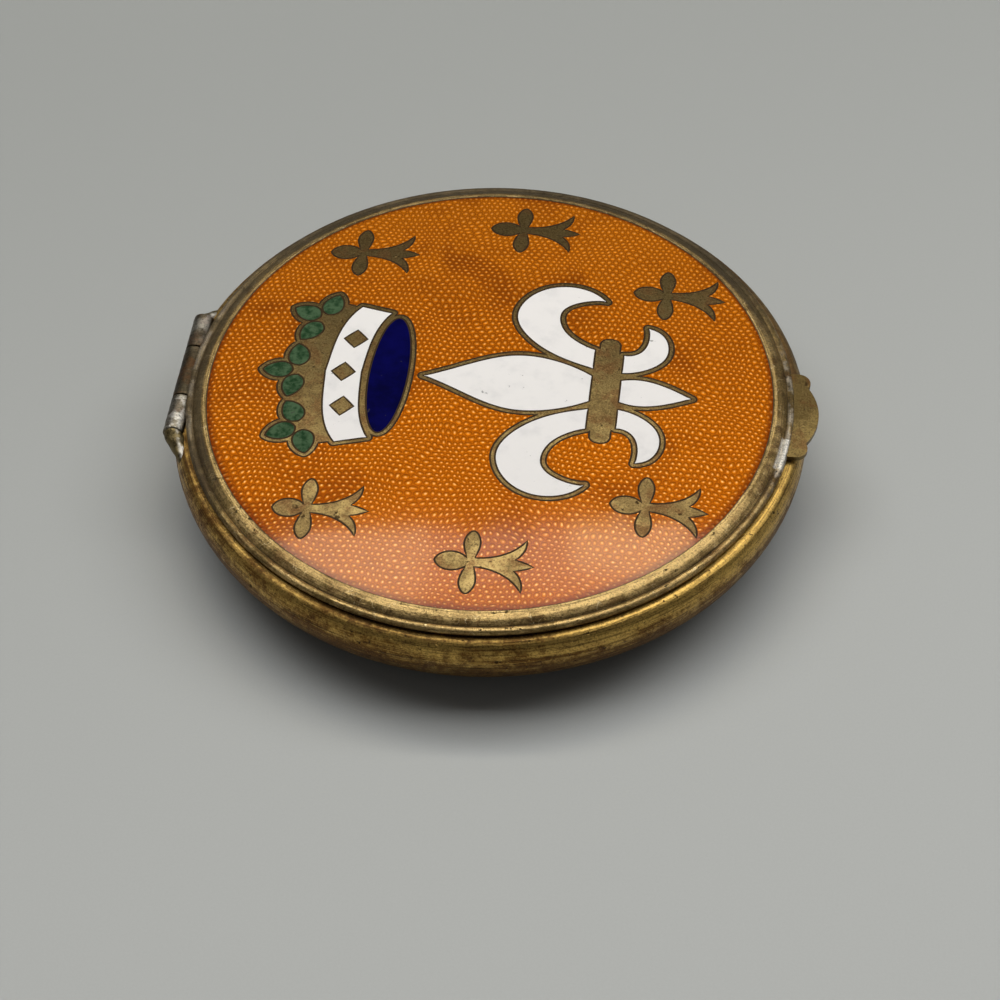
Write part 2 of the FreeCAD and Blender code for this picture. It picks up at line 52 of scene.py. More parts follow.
class Finish:
    """A material under construction: one Principled shader and the nodes that feed it."""

    def __init__(self, name):
        self.material = bpy.data.materials.new(name)
        self.material.use_nodes = True
        self.tree = self.material.node_tree
        self.shader = self.tree.nodes["Principled BSDF"]
        self.place = self.node("ShaderNodeTexCoord").outputs["Object"]

    def node(self, kind, inputs=None, **settings):
        """Adds a node, with its settings and with values or links on its inputs."""
        made = self.tree.nodes.new(kind)
        for key, value in settings.items():
            setattr(made, key, value)
        for key, value in (inputs or {}).items():
            self.feed(made.inputs[key], value)
        return made

    def feed(self, socket, value):
        """Links an output to a socket, or writes a plain value on it."""
        if isinstance(value, bpy.types.NodeSocket):
            self.tree.links.new(value, socket)
        else:
            socket.default_value = value

    def set(self, **inputs):
        """Feeds the shader's own sockets, with underscores for spaces in their names."""
        for key, value in inputs.items():
            self.feed(self.shader.inputs[key.replace("_", " ")], value)

    def math(self, operation, *values):
        """Result of one sum on one, two or three values."""
        made = self.node("ShaderNodeMath", operation=operation)
        for socket, value in zip(made.inputs, values):
            self.feed(socket, value)
        return made.outputs[0]

    def times(self, *values):
        """Product of two or more values."""
        product = values[0]
        for value in values[1:]:
            product = self.math("MULTIPLY", product, value)
        return product

    def most(self, *values):
        """Largest of two or more values."""
        largest = values[0]
        for value in values[1:]:
            largest = self.math("MAXIMUM", largest, value)
        return largest

    def vector(self, operation, *values):
        """Result of one sum on vectors."""
        made = self.node("ShaderNodeVectorMath", operation=operation)
        for socket, value in zip(made.inputs, values):
            self.feed(socket, value)
        return made.outputs["Value" if operation == "LENGTH" else "Vector"]

    def noise(self, scale, detail=3.0, rough=0.5, where=None, w=None, distortion=0.0, output="Fac"):
        """Cloudy noise from 0 to 1 with features of about 1 / scale metres."""
        made = self.node("ShaderNodeTexNoise", noise_dimensions="3D" if w is None else "4D")
        self.feed(made.inputs["Vector"], self.place if where is None else where)
        fixed = {"Scale": scale, "Detail": detail, "Roughness": rough, "Distortion": distortion}
        for key, value in fixed.items():
            made.inputs[key].default_value = value
        if w is not None:
            self.feed(made.inputs["W"], w)
        return made.outputs[output]

    def span(self, value, low, high, to_low=0.0, to_high=1.0):
        """Value eased from one range to another, held at the ends."""
        made = self.node("ShaderNodeMapRange", interpolation_type="SMOOTHSTEP")
        for socket, given in zip(made.inputs, (value, low, high, to_low, to_high)):
            self.feed(socket, given)
        return made.outputs[0]

    def hump(self, value, middle, half):
        """1 at a middle value, eased to 0 at half a width to each side."""
        away = self.math("ABSOLUTE", self.math("SUBTRACT", value, middle))
        return self.span(away, 0.0, half, 1.0, 0.0)

    def mix(self, factor, a, b):
        """Colour between a and b."""
        made = self.node("ShaderNodeMix", data_type="RGBA")
        self.feed(made.inputs[0], factor)
        self.feed(made.inputs[6], (*a, 1) if isinstance(a, tuple) else a)
        self.feed(made.inputs[7], (*b, 1) if isinstance(b, tuple) else b)
        return made.outputs[2]

    def bump(self, height, distance, strength=1.0):
        """Normal bent by a height that runs from 0 to 1 over a distance."""
        inputs = {"Height": height, "Distance": distance, "Strength": strength}
        return self.node("ShaderNodeBump", inputs).outputs[0]

    def axes(self):
        """The three coordinates of the place."""
        return self.node("ShaderNodeSeparateXYZ", {"Vector": self.place}).outputs

    def radius(self):
        """Distance from the case axis."""
        x, y, _ = self.axes()
        return self.math("SQRT", self.math("ADD", self.math("MULTIPLY", x, x), self.math("MULTIPLY", y, y)))

    def rings(self, along, across, detail=4.0):
        """Noise drawn out into rings round the case axis: along per turn, across per metre."""
        x, y, z = self.axes()
        radius = self.radius()
        c, s = (self.times(self.math("DIVIDE", part, radius), along) for part in (x, y))
        where = self.node("ShaderNodeCombineXYZ", {"X": c, "Y": s, "Z": self.times(z, across)}).outputs[0]
        return self.noise(1.0, detail, 0.6, where=where, w=self.times(radius, across))


def worn_brass(name, bright, dull, dark, streaked, gloss, relief, brushed=1.0,
               rubbed_and_lit=None, grime_and_shade=None, tin_and_highlight=None, scratched=0.0):
    """Brass with tarnish in clouds and rings, brown stains, pits, grain with painted glints in it, and fine
    scratches.

    streaked is the share of rings in the tarnish, gloss the roughness where it is bright and where dull.
    The three masks given work out from 0 to 1 where the brass is polished, blackened or greyed by tin; in
    some pieces they also carry painted highlights and painted shade.
    """
    f = Finish(name)
    clouds = f.noise(170, 5, 0.6, distortion=0.6)
    drawn = f.rings(2.2, 1500, 6)
    fine = f.rings(5.0, 7000, 3)
    grain = f.noise(5200, 3, 0.7)
    mottle = f.noise(900, 6, 0.75)
    # The rubbed mask stands for polish and, on the bowl, partly for a painted highlight; the grimy mask for
    # grime and, on bowl and rim, partly for painted shade; the tinned mask for tin and, on knuckles and bead,
    # partly for a painted highlight.
    wear_and_light = rubbed_and_lit(f) if rubbed_and_lit else 0.0
    grime_and_shade_level = grime_and_shade(f) if grime_and_shade else 0.0
    dullness = f.math("ADD", f.times(clouds, 1 - streaked), f.times(drawn, streaked))
    dullness = f.math("ADD", dullness, f.times(f.math("SUBTRACT", mottle, 0.5), 0.6))
    dullness = f.span(f.math("SUBTRACT", dullness, f.times(wear_and_light, 0.14)), 0.38, 0.60)
    colour = f.mix(dullness, bright, dull)
    brown = f.span(f.noise(420, 6, 0.7, distortion=0.5), 0.48, 0.62)
    colour = f.mix(f.times(brown, f.math("SUBTRACT", 0.6, f.times(wear_and_light, 0.4))), colour, BRASS_BROWN)
    if tin_and_highlight:
        tin = tin_and_highlight(f)
        colour = f.mix(tin, colour, TIN_AND_GLINT_GREY)
        grime_and_shade_level = f.times(f.math("SUBTRACT", 1.0, tin), grime_and_shade_level)
    colour = f.mix(f.times(f.span(grain, 0.46, 0.66), 0.60), colour, dark)
    # Bright specks where the grain is low are painted glints.
    colour = f.mix(f.times(f.span(grain, 0.44, 0.30), 0.55), colour, bright)
    colour = f.mix(f.times(f.span(fine, 0.52, 0.64), 0.65 * brushed), colour, dark)
    colour = f.mix(f.times(f.span(fine, 0.44, 0.32), 0.6 * brushed), colour, bright)
    if scratched:
        strokes = f.hump(f.noise(330, 2, 0.5, distortion=1.5), 0.5, 0.010)
        strokes = f.times(strokes, f.span(f.noise(800, 2), 0.48, 0.58), scratched)
        colour = f.mix(strokes, colour, BRASS_SCRATCH)
    spots = f.span(f.noise(1500, 3, 0.55), 0.66, 0.71)
    colour = f.mix(f.most(f.times(spots, 0.85), grime_and_shade_level), colour, dark)
    f.set(Base_Color=colour, Metallic=f.span(grime_and_shade_level, 0.2, 1.0, 1.0, 0.5))
    dirt = f.most(f.times(brown, 0.6), spots, grime_and_shade_level)
    f.set(Roughness=f.math("ADD", f.span(dullness, 0.0, 1.0, *gloss), f.times(dirt, 0.14)))
    height = f.math("SUBTRACT", f.times(fine, 0.4 * brushed), f.times(spots, 0.8))
    height = f.math("ADD", height, f.times(mottle, 0.5))
    height = f.math("ADD", height, f.times(grain, 0.5))
    f.set(Normal=f.bump(height, 0.00006 * relief, 0.7))
    return f


def dress(node, finish):
    """Gives a CAD node its material."""
    piece = nodes[node]
    piece.data.materials.clear()
    piece.data.materials.append(finish.material)
    return piece


def bowl_front_right(f):
    """1 in front of the thumb tab, where fingers hold the case and the bowl takes a painted highlight, and 0
    from the middle on and behind it.
    """
    x, y, _ = f.axes()
    return f.times(f.span(x, 4 * MM, 16 * MM), f.span(y, 0.0, -9 * MM))


def bowl_rubbed_and_lit(f):
    """Bright over the shoulder beside the tab, partly polish and partly a painted highlight, dull everywhere
    else.
    """
    # Painted highlight, with polish, over the upper shoulder beside the tab.
    shoulder = f.span(f.axes()[2], 6.8 * MM, 8.3 * MM)
    return f.math("SUBTRACT", f.times(shoulder, f.span(bowl_front_right(f), 0.0, 1.0, 0.55, 1.4)), 0.55)


def bowl_grime_and_shade(f):
    """Painted shade under the lid's edge, and darker behind the tab and, in clouds, towards the foot."""
    x, y, z = f.axes()
    # Painted shade in the gap under the lid's edge, weaker in front of the tab.
    lip = f.times(f.span(z, 9.0 * MM, 9.25 * MM), f.span(bowl_front_right(f), 0.0, 1.0, 0.35, 0.15))
    cloudy = f.math("ADD", z, f.times(f.math("SUBTRACT", f.noise(330, 4, 0.6), 0.5), 5 * MM))
    behind_tab = f.times(f.span(x, 10 * MM, 24 * MM), f.span(y, -4 * MM, 5 * MM, 0.0, 0.65))
    return f.most(lip, behind_tab, f.span(cloudy, 1.0 * MM, 7.8 * MM, 0.8, 0.0))


bowl_brass = worn_brass(
    "bowl_brass", bright=(0.66, 0.42, 0.11), dull=(0.21, 0.10, 0.022), dark=BRASS_DARK,
    streaked=0.55, gloss=(0.34, 0.50), relief=1.6, rubbed_and_lit=bowl_rubbed_and_lit, grime_and_shade=bowl_grime_and_shade)
dress("base_bowl", bowl_brass)

# Collar, pan, wire ring and mirror frame: the gilt inside of the case, turned and pressed from brass.
# It was shut away from hands, so the gilding is whole, satin and warm with fine turning rings.

DUST = (0.42, 0.33, 0.21)


def satin_gilt(name, colour, shade, gloss):
    """Clean gilding with faint turning rings, and a little dust in clouds."""
    f = Finish(name)
    turning = f.rings(0.25, 6500, 2)
    dust = f.span(f.noise(190, 5, 0.6), 0.42, 0.75)
    tone = f.mix(f.span(turning, 0.3, 0.7, 0.0, 0.55), colour, shade)
    f.set(Base_Color=f.mix(f.times(dust, 0.22), tone, DUST))
    f.set(Metallic=f.span(dust, 0, 1, 1.0, 0.85), Roughness=f.span(turning, 0.3, 0.7, gloss, gloss + 0.08))
    f.set(Normal=f.bump(turning, 0.000008, 0.6))
    return f


gilt = satin_gilt("inner_gilt", colour=(0.66, 0.46, 0.17), shade=(0.54, 0.36, 0.12), gloss=0.22)
for node in ("base_collar", "powder_pan", "pan_ring", "mirror_frame"):
    dress(node, gilt)

# Catch: a bowed leaf of blued spring steel behind the collar, with a nib through its wall.
# It is held by a hook at each end and gives outwards when the mirror frame is pushed past it.

STEEL_BLUED, STEEL_BARE = (0.09, 0.10, 0.14), (0.22, 0.21, 0.22)
blued = Finish("spring_steel")
blueing = blued.noise(700, 4)
blued.set(Base_Color=blued.mix(blueing, STEEL_BLUED, STEEL_BARE), Metallic=1.0)
blued.set(Roughness=blued.span(blueing, 0.3, 0.7, 0.25, 0.42))
dress("catch_spring", blued)

# Hinge knuckles: three short lengths of brass tube let into the rims of bowl and lid and soldered there.
# Tin from the soldering and years of handling have left them greyer than the case, their ends rounded; the
# pale grey patches on their upper side are partly tin and partly a painted highlight.

HINGE_X, HINGE_Z = -30.3, 9.1
BARREL_R, BORE_R = 1.07, 0.53
KNUCKLE_ROUND, BORE_ROUND = 0.13, 0.05
DENT_LONG, DENT_SHORT = 0.012, 0.010
KNUCKLES = {
    "base_knuckle_left": (-7.9, -3.4, "base"),
    "lid_knuckle": (-3.3, 3.3, "lid"),
    "base_knuckle_right": (3.4, 7.9, "base"),
}


def skin(name, grid, finish, capped=False):
    """Mesh of quads over a grid of points in mm, closed both ways or capped at its first and last row."""
    rows, columns = grid.shape[:2]
    index = np.arange(rows * columns).reshape(rows, columns)
    index = np.hstack([index, index[:, :1]])
    index = index if capped else np.vstack([index, index[:1]])
    quads = np.stack([index[:-1, :-1], index[1:, :-1], index[1:, 1:], index[:-1, 1:]], -1).reshape(-1, 4)
    faces = quads.tolist()
    if capped:
        faces += [index[0, :-1].tolist(), index[-1, -2::-1].tolist()]
    points = grid.reshape(-1, 3)
    a, b, c, d = (points[quads[:, k]] - points.mean(0) for k in range(4))
    if np.einsum("ij,ij->", a, np.cross(b, c) + np.cross(c, d)) < 0:
        faces = [face[::-1] for face in faces]
    mesh = bpy.data.meshes.new(name)
    mesh.from_pydata((points * MM).tolist(), [], faces)
    mesh.polygons.foreach_set("use_smooth", np.ones(len(faces), bool))
    mesh.materials.append(finish.material)
    piece = bpy.data.objects.new(name, mesh)
    bpy.context.collection.objects.link(piece)
    return piece


def rounded(corners, radii, steps=6):
    """Closed outline with a quarter arc at each corner, which is cut back by its radius both ways."""
    corners, radii = np.array(corners, float), np.array(radii, float)[:, None]
    before = np.roll(corners, 1, 0) - corners
    after = np.roll(corners, -1, 0) - corners
    before /= np.linalg.norm(before, axis=1)[:, None]
    after /= np.linalg.norm(after, axis=1)[:, None]
    turn = np.linspace(0, np.pi / 2, steps)[None, :, None]
    middle = (corners + radii * (before + after))[:, None]
    arc = middle - radii[:, None] * (np.cos(turn) * after[:, None] + np.sin(turn) * before[:, None])
    return arc.reshape(-1, 2)


def knuckle(y_from, y_to):
    """Tube on the hinge axis: a rounded wall section carried round a circle, with slight dents outside."""
    wall = rounded(
        [(y_from, BORE_R), (y_to, BORE_R), (y_to, BARREL_R), (y_from, BARREL_R)],
        [BORE_ROUND, BORE_ROUND, KNUCKLE_ROUND, KNUCKLE_ROUND])
    wall = np.vstack([wall, wall[:1]])
    run = np.append(0, np.cumsum(np.linalg.norm(np.diff(wall, axis=0), axis=1)))
    stops = np.union1d(run, np.arange(0, run[-1], 0.2))[:-1]
    along = np.interp(stops, run, wall[:, 0])[:, None]
    out = np.interp(stops, run, wall[:, 1])[:, None]
    turn = np.linspace(0, 2 * np.pi, 73)[:-1]
    dents = DENT_LONG * np.sin(2.3 * along + 3 * turn) + DENT_SHORT * np.sin(4 * along - 2 * turn + 1.3)
    reach = out - np.where(out > BORE_R + 0.2, np.abs(dents), 0)
    along = np.broadcast_to(along, reach.shape)
    return np.stack([HINGE_X + reach * np.cos(turn), along, HINGE_Z + reach * np.sin(turn)], -1)


def knuckle_tin_and_highlight(f):
    """Pale grey in patches on the upper side, partly tin and partly a painted highlight: thick on the near
    knuckle, thin on the far one, none between.
    """
    _, y, z = f.axes()
    # Painted highlight, with tin, on the upper side of the knuckles.
    ends = f.most(f.span(y, -3.2 * MM, -4.2 * MM), f.span(y, 3.2 * MM, 6.5 * MM, 0.0, 0.35))
    upper = f.span(z, (HINGE_Z + 0.35) * MM, (HINGE_Z + 0.75) * MM)
    return f.times(f.span(f.noise(330, 4, 0.6), 0.42, 0.54, 0.1, 1.0), ends, upper)


hinge_metal = worn_brass(
    "hinge_metal", bright=(0.150, 0.122, 0.075), dull=(0.060, 0.048, 0.029), dark=(0.022, 0.018, 0.011),
    streaked=0.0, gloss=(0.32, 0.46), relief=2.0, brushed=0.0, tin_and_highlight=knuckle_tin_and_highlight)
for node, (y_from, y_to, body) in KNUCKLES.items():
    tube = skin(node + "_tube", knuckle(y_from, y_to), hinge_metal)
    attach(tube, body)
    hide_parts(node)

# Hinge pin: one steel wire pushed through all three knuckles and cut flush with the outer ones.
# Only its two ends are seen, and they are rusted a little.

WIRE_GREY, WIRE_RUST = (0.42, 0.41, 0.39), (0.16, 0.11, 0.07)
wire = Finish("pin_steel")
rust = wire.span(wire.noise(1800, 4), 0.5, 0.7)
wire.set(Base_Color=wire.mix(rust, WIRE_GREY, WIRE_RUST), Metallic=1.0)
wire.set(Roughness=wire.span(rust, 0, 1, 0.28, 0.6))
dress("hinge_pin", wire)

# Solder: tin that ran out of both ends of the barrel and froze as a fillet along the bowl's shoulder.
# Its upper inner side is pale tin grey in patches, partly tin and partly a painted highlight; the rest is
# olive and brown, partly grime and partly painted shade, and it is lumpy as it flowed.

BARREL_END = 7.9
FILLET_FROM, FILLET_TO = (30.26, 9.06), (30.50, 8.40)
NEAR_LENGTH, NEAR_RADII = 3.6, (0.98, 0.50)
FAR_LENGTH, FAR_RADII = 2.4, (0.80, 0.40)
LUMP = 0.03
TIP_SHARE, TIP_LEAST = 0.06, 0.04


def fillet(side, length, radii):
    """Tapering round bar with soft lumps and a blunt tip, its rings set on an arc from the barrel's end on.

    Reach from the case axis, height and radius run straight from their first to their last value.
    """
    part = np.linspace(0, 1, 40)[:, None]
    turn = np.linspace(0, 2 * np.pi, 49)[:-1]
    start = math.atan2(BARREL_END, FILLET_FROM[0])
    angle = start + part * length / FILLET_TO[0]
    first = math.hypot(FILLET_FROM[0], BARREL_END)
    reach = first + (FILLET_TO[0] - first) * part
    height = FILLET_FROM[1] + (FILLET_TO[1] - FILLET_FROM[1]) * part
    lumps = 1 + LUMP * np.sin(9 * part + 2 * turn) + LUMP * np.sin(17 * part - 3 * turn + side)
    radius = (radii[0] + (radii[1] - radii[0]) * part) * lumps
    radius = radius * np.sqrt(np.clip((1 - part) / TIP_SHARE, TIP_LEAST, 1))
    across = reach + radius * np.cos(turn)
    return np.stack([
        -across * np.cos(angle), side * across * np.sin(angle), height + radius * np.sin(turn)], -1)


TIN_CLEAN, TIN_SOOT = (0.52, 0.49, 0.43), (0.12, 0.10, 0.065)
TIN_OLIVE, TIN_BROWN = (0.19, 0.145, 0.065), (0.06, 0.045, 0.022)
tin = Finish("solder")
flow = tin.noise(900, 6, 0.7)
# Painted light: pale tin on the upper inner side as a highlight, dark olive and brown below and outside as
# shade.
inner = tin.times(tin.span(tin.radius(), 31.15 * MM, 30.75 * MM), tin.span(tin.axes()[2], 8.6 * MM, 9.0 * MM))
lit_tin_patches = tin.times(tin.span(tin.noise(420, 5, 0.65), 0.40, 0.52), inner)
soot = tin.span(tin.noise(1600, 4, 0.6), 0.44, 0.62)
tin_and_highlight = tin.mix(tin.times(soot, 0.6), TIN_CLEAN, TIN_SOOT)
dirty_and_shaded = tin.mix(soot, TIN_OLIVE, TIN_BROWN)
tin.set(Base_Color=tin.mix(lit_tin_patches, dirty_and_shaded, tin_and_highlight), Metallic=1.0)
tin.set(Roughness=tin.span(flow, 0.3, 0.7, 0.40, 0.56), Normal=tin.bump(flow, 0.00022, 0.7))
solder_left = skin("solder_left", fillet(-1, NEAR_LENGTH, NEAR_RADII), tin, capped=True)
solder_right = skin("solder_right", fillet(1, FAR_LENGTH, FAR_RADII), tin, capped=True)
for piece in (solder_left, solder_right):
    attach(piece, "base")
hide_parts("hinge_solder")

# Lid rim: a turned brass ring with a beaded edge, a crowned band and a thin lip closed over the enamel.
# The crests are rubbed bright and the groove beside the bead holds dark tarnish; the back of the ring is
# darkened with painted shade.
# Tin from the soldering greys the bead at tab and hinge, and a pale smear below the tab is partly tin and
# partly a painted highlight.

LIP_MIDDLE, GROOVE_MIDDLE, BEAD_MIDDLE = 28.12 * MM, 29.26 * MM, 29.72 * MM
GLINT_SMEAR_Y = -5.3 * MM


def rim_unrubbed_and_shaded(f):
    """How far a place lies towards the hinge, the back and the tab: no hand rubs the rim at hinge and tab,
    and at the back it stands for painted shade.
    """
    x, y, _ = f.axes()
    side = f.most(f.span(x, 0.0, -28 * MM), f.span(x, 17 * MM, 27 * MM, 0.0, 0.8))
    return f.most(side, f.span(y, -2 * MM, 18 * MM))


def rim_rubbed(f):
    """Bright on lip, upper band and bead, but only on the lip towards hinge, back and tab; the crests are
    kept dull at the back as painted shade.
    """
    radius = f.radius()
    crests = f.most(f.span(radius, 28.80 * MM, 28.60 * MM), f.hump(radius, BEAD_MIDDLE, 0.35 * MM))
    crests = f.math("SUBTRACT", crests, f.times(rim_unrubbed_and_shaded(f), 1.3))
    return f.most(crests, f.times(f.hump(radius, LIP_MIDDLE, 0.18 * MM), 1.6))


def rim_grime_and_shade(f):
    """Dark over the lower band in stretches, at hinge and tab, in the groove and by the enamel, and painted
    shade over the back of the ring.
    """
    radius = f.radius()
    x, y, _ = f.axes()
    stretches = f.span(f.noise(300, 4, 0.6), 0.34, 0.64, 0.0, 0.35)
    low_band = f.times(f.span(radius, 28.6 * MM, 28.9 * MM), f.span(radius, 29.34 * MM, 29.26 * MM))
    groove = f.times(f.hump(radius, GROOVE_MIDDLE, 0.10 * MM), 0.85)
    side = f.most(f.span(x, -20 * MM, -27 * MM, 0.0, 0.9), f.span(x, 22 * MM, 28 * MM, 0.0, 0.45))
    # Darker towards hinge and tab, and painted shade over the back of the ring, away from the lip.
    away = f.times(f.most(side, f.span(y, 2 * MM, 20 * MM)), f.span(radius, 28.2 * MM, 28.5 * MM), 0.88)
    inner = f.span(radius, 27.97 * MM, 27.88 * MM, 0.0, 0.85)
    return f.most(f.times(low_band, stretches), groove, away, inner)


def rim_tin_and_highlight(f):
    """Grey on the bead beside the thumb tab and along the hinge, with one thick pale smear below the tab that
    is partly tin and partly a painted highlight.
    """
    x, y, _ = f.axes()
    radius = f.radius()
    bead = f.span(radius, 29.25 * MM, 29.45 * MM)
    patches = f.span(f.noise(520, 4, 0.6), 0.40, 0.52)
    near = f.most(f.span(x, 27.4 * MM, 28.6 * MM, 0.0, 0.45), f.span(x, -27.2 * MM, -28.8 * MM, 0.0, 0.35))
    # The smear below the tab is partly tin and partly a painted highlight.
    edge = f.times(f.math("SUBTRACT", f.noise(900, 4), 0.5), 1.6 * MM)
    away = f.math("ADD", f.math("ABSOLUTE", f.math("SUBTRACT", y, GLINT_SMEAR_Y)), edge)
    smear = f.times(f.span(away, 2.1 * MM, 1.8 * MM), f.span(x, 20 * MM, 21 * MM))
    smear = f.times(smear, f.span(radius, 28.95 * MM, 29.15 * MM))
    return f.most(f.times(bead, near, patches), smear)


rim_brass = worn_brass(
    "rim_brass", bright=(0.57, 0.390, 0.155), dull=(0.21, 0.140, 0.048), dark=(0.045, 0.032, 0.014),
    streaked=0.35, gloss=(0.34, 0.50), relief=3.0, brushed=0.7,
    rubbed_and_lit=rim_rubbed, grime_and_shade=rim_grime_and_shade, tin_and_highlight=rim_tin_and_highlight, scratched=0.7)
dress("lid_rim", rim_brass)

# Thumb tab: a flat plate of brass sheet, one wide lobe between two knobs, soldered to the front of the bead.
# It lifts the lid, so its face is rubbed even and has lost all gilding.

tab_brass = worn_brass(
    "tab_brass", bright=(0.21, 0.150, 0.056), dull=(0.11, 0.076, 0.027), dark=BRASS_DARK,
    streaked=0.0, gloss=(0.36, 0.48), relief=1.2, brushed=0.25)
dress("thumb_tab", tab_brass)

# Medallion plate: the thin domed plate under the enamel, stippled all over with a round punch.
# It is clean gilding metal, set in the rim from below and seen only from inside when the mirror is out.

plate_brass = satin_gilt("plate_brass", colour=(0.60, 0.42, 0.16), shade=(0.42, 0.28, 0.10), gloss=0.3)
dress("medallion_plate", plate_brass)

# Orange enamel: clear glass fired over the stippled plate, then ground and polished to one smooth dome.
# Each punched pebble is painted as a paler dot, with a painted glint in its middle and painted shade in a
# ring round its foot; the glass is browner where it was fired harder, and painted paler towards the back and
# darker towards the front.

ENAMEL_EDGE = 27.85 * MM
STIPPLE_PITCH = 0.66 * MM
STIPPLE_DRIFT = ((170, 2.2 * MM), (1000, 0.42 * MM))
GLASS_DEEP, GLASS_PALE = (0.47, 0.112, 0.0015), (0.58, 0.158, 0.003)
GLASS_LIT_BACK, GLASS_SHADED_FRONT = (0.68, 0.195, 0.004), (0.36, 0.084, 0.001)
GLASS_STAIN, GLASS_POOL = (0.24, 0.048, 0.002), (0.14, 0.022, 0.003)
PEBBLE_LIT, PEBBLE_FOOT_SHADE, PEBBLE_GLINT = (0.72, 0.23, 0.008), (0.23, 0.044, 0.001), (1.0, 0.52, 0.16)


def stipple(f, pitch):
    """Distance to the nearest pebble, in pitches, on a hexagonal layout pushed about by noise."""
    where = f.place
    for scale, size in STIPPLE_DRIFT:
        push = f.vector("SUBTRACT", f.noise(scale, 1, output="Color"), (0.5, 0.5, 0.5))
        where = f.vector("ADD", where, f.vector("MULTIPLY", push, (size, size, 0)))
    where = f.vector("MULTIPLY", where, (1 / pitch, 1 / pitch, 0))
    tall = math.sqrt(3)
    reach = []
    for offset in ((0, 0, 0), (0.5, tall / 2, 0)):
        moved = f.vector("ADD", where, offset)
        inside = f.vector("SUBTRACT", moved, f.vector("SNAP", moved, (1.0, tall, 1.0)))
        middle = f.vector("SUBTRACT", inside, (0.5, tall / 2, 0))
        reach.append(f.vector("LENGTH", f.vector("MULTIPLY", middle, (1, 1, 0))))
    return f.math("MINIMUM", *reach)


amber = Finish("orange_enamel")
across = amber.axes()[1]
reach = stipple(amber, STIPPLE_PITCH)
uneven = amber.noise(1300, 2)
# Painted glint: a bright dot in the middle of each pebble, dimmer towards the back.
pebble_glint = amber.times(amber.span(reach, 0.04, 0.19, 1.0, 0.0), amber.span(uneven, 0.30, 0.62, 0.35, 1.0))
pebble_glint = amber.times(pebble_glint, amber.span(across, -5 * MM, 22 * MM, 0.95, 0.6))
# Each pebble's body is painted paler, as lit, and the ring round its foot darker, as painted shade.
pebble = amber.span(reach, 0.16, 0.36, 1.0, 0.0)
ring = amber.hump(reach, 0.40, 0.15)
stain = amber.span(amber.noise(105, 4, 0.55, distortion=0.6), 0.47, 0.70)
pool_start = amber.span(across, -15 * MM, 15 * MM, ENAMEL_EDGE - 1.0 * MM, ENAMEL_EDGE - 0.5 * MM)
pooled = amber.span(amber.radius(), pool_start, ENAMEL_EDGE)
ground = amber.mix(amber.noise(500, 3), GLASS_DEEP, GLASS_PALE)
# Painted light: the glass is paler towards the back and darker towards the front.
ground = amber.mix(amber.span(across, 4 * MM, 26 * MM, 0.0, 0.75), ground, GLASS_LIT_BACK)
ground = amber.mix(amber.span(across, -3 * MM, -16 * MM, 0.0, 0.45), ground, GLASS_SHADED_FRONT)
ground = amber.mix(amber.times(stain, 0.75), ground, GLASS_STAIN)
colour = amber.mix(amber.times(pebble, 0.45), ground, PEBBLE_LIT)
colour = amber.mix(amber.times(ring, 0.72), colour, PEBBLE_FOOT_SHADE)
colour = amber.mix(pebble_glint, colour, PEBBLE_GLINT)
colour = amber.mix(amber.times(pooled, 0.8), colour, GLASS_POOL)
amber.set(Base_Color=colour, Metallic=0.35, Roughness=0.36, Specular_IOR_Level=0.0)
amber.set(Normal=amber.bump(amber.span(reach, 0.05, 0.46, 1.0, 0.0), 0.00005, 0.7))
amber.set(Coat_Weight=0.30, Coat_Roughness=0.08)
dress("orange_enamel", amber)

# White, green and blue enamel: cells of opaque or deep glass between the brass outlines, ground flush.
# The white has a few specks and grey smears, the green is mottled, the blue is deep and clear.

SPECK = (0.06, 0.055, 0.05)


def glass_enamel(name, colours, scale, low, high):
    """Glossy enamel whose colour drifts between two tones in clouds."""
    f = Finish(name)
    drift = f.span(f.noise(scale, 4, 0.6), low, high)
    colour = f.mix(drift, *colours)
    speck = f.span(f.noise(1300, 3, 0.5), 0.70, 0.75)
    f.set(Base_Color=f.mix(f.times(speck, 0.6), colour, SPECK))
    f.set(Roughness=0.3, Specular_IOR_Level=0.0, Coat_Weight=0.30, Coat_Roughness=0.08)
    return f


ENAMELS = {
    "white_enamel": (((0.93, 0.90, 0.87), (0.80, 0.78, 0.76)), 420, 0.45, 0.85),
    "green_enamel": (((0.018, 0.050, 0.020), (0.070, 0.125, 0.062)), 1300, 0.36, 0.64),
    "blue_enamel": (((0.001, 0.001, 0.032), (0.002, 0.002, 0.070)), 300, 0.35, 0.65),
}
for node, (colours, scale, low, high) in ENAMELS.items():
    dress(node, glass_enamel(node, colours, scale, low, high))

# Outlines of the drawing: brass strip standing through the enamel, ground flush and left to tarnish.
# A fine dark line of fired oxide runs along both sides of every strip, where glass and brass meet.

motif_brass = worn_brass(
    "motif_brass", bright=(0.26, 0.188, 0.076), dull=(0.15, 0.103, 0.040), dark=BRASS_DARK,
    streaked=0.0, gloss=(0.28, 0.38), relief=0.8, brushed=0.2)
dress("motif_brass", motif_brass)

DOME_TOP, DOME_BALL = 11.8, 323.776
LINE_ACROSS = np.array([-0.08, -0.04, 0.0, 0.055, 0.11, 0.11, -0.08])
LINE_HEIGHT = np.array([0.001, 0.007, 0.009, 0.007, 0.001, -0.030, -0.030])
OXIDE_BLACK, OXIDE_BROWN = (0.018, 0.010, 0.004), (0.065, 0.036, 0.012)


